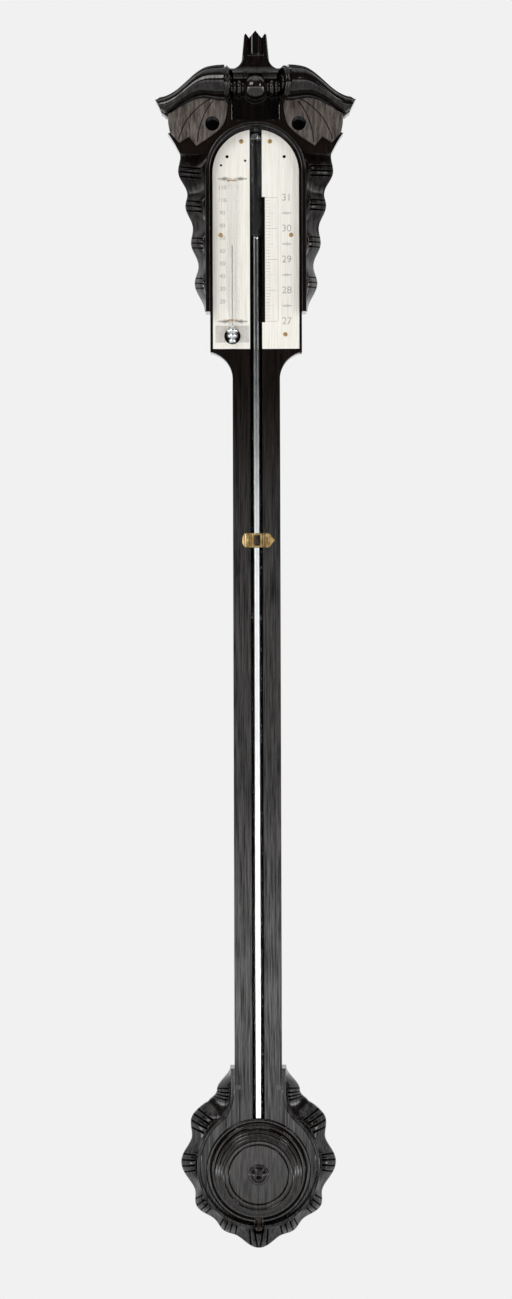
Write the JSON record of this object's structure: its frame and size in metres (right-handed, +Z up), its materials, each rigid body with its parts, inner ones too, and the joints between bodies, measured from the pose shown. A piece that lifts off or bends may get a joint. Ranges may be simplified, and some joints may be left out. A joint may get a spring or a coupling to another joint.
{
  "type": "stick barometer",
  "caption": "Wall-hung mercury stick barometer: long case with carved hood and foot, register plates, thermometer, glass tube, turned cistern cover that lifts off and a portable screw.",
  "frame": {"origin": "mouth of the hanging hole, on the back face and the middle line", "axes": "+Z up along the tube, +Y back into the wall, +X to the right as seen from the front"},
  "size_m": [0.1652, 0.0543, 1.003],
  "materials": {
    "polished_wood": "french polished dark hardwood with long straight grain",
    "carved_wood": "carved and polished, near black",
    "turned_wood": "turned and polished",
    "ivory_plate": "polished bone, engraved",
    "clear_glass": "drawn glass tube",
    "mercury": "liquid mirror",
    "brass": "lacquered, a little dulled",
    "boxwood": "turned, waxed",
    "calfskin": "soft undyed leather",
    "cork": "cut cork"
  },
  "bodies": {
    "case": {"head_board": "polished_wood", "backboard": "polished_wood", "hood_arch": "carved_wood", "side_carving_left": "carved_wood", "side_carving_right": "carved_wood", "swan_neck_left": "carved_wood", "swan_neck_right": "carved_wood", "scroll_rosettes": "carved_wood", "crest_spindle": "turned_wood", "crest_finial": "carved_wood", "base_collar": "carved_wood", "shaft_plugs": "turned_wood", "weather_plate": "ivory_plate", "thermometer_plate": "ivory_plate", "plate_screws": "brass", "thermometer_stem": "clear_glass", "thermometer_mercury": "mercury", "stem_staples": "brass", "glass_tube": "clear_glass", "mercury_column": "mercury", "tube_clip": "brass", "clip_pins": "brass", "tube_bush": "cork", "cistern_cap": "boxwood", "cistern_body": "boxwood", "mercury_pool": "mercury", "cistern_leather": "calfskin", "leather_ring": "boxwood", "cistern_strap": "brass", "strap_screws": "brass", "screw_bridge": "brass", "bridge_screws": "brass"},
    "cover": {"cistern_cover": "turned_wood", "cover_button": "turned_wood"},
    "pad": {"pressure_pad": "brass"},
    "screw": {"portable_screw": "brass"}
  },
  "joints": [
    {"name": "cover_lift", "type": "slide", "parent": "case", "child": "cover", "axis": [0, -1, 0], "range_m": [0, 0.04]},
    {"name": "pad_rise", "type": "slide", "parent": "case", "child": "pad", "axis": [0, 0, 1], "range_m": [0, 0.006], "deforming": ["cistern_leather", "mercury_pool"]},
    {"name": "screw_turn", "type": "hinge", "parent": "pad", "child": "screw", "pos_m": [0, -0.0274, -0.8855], "axis": [0, 0, 1], "range_deg": [0, 1440]}
  ],
  "couplings": [
    {"joint": "screw_turn", "follows": "pad_rise", "rad_per_m": 4188}
  ]
}
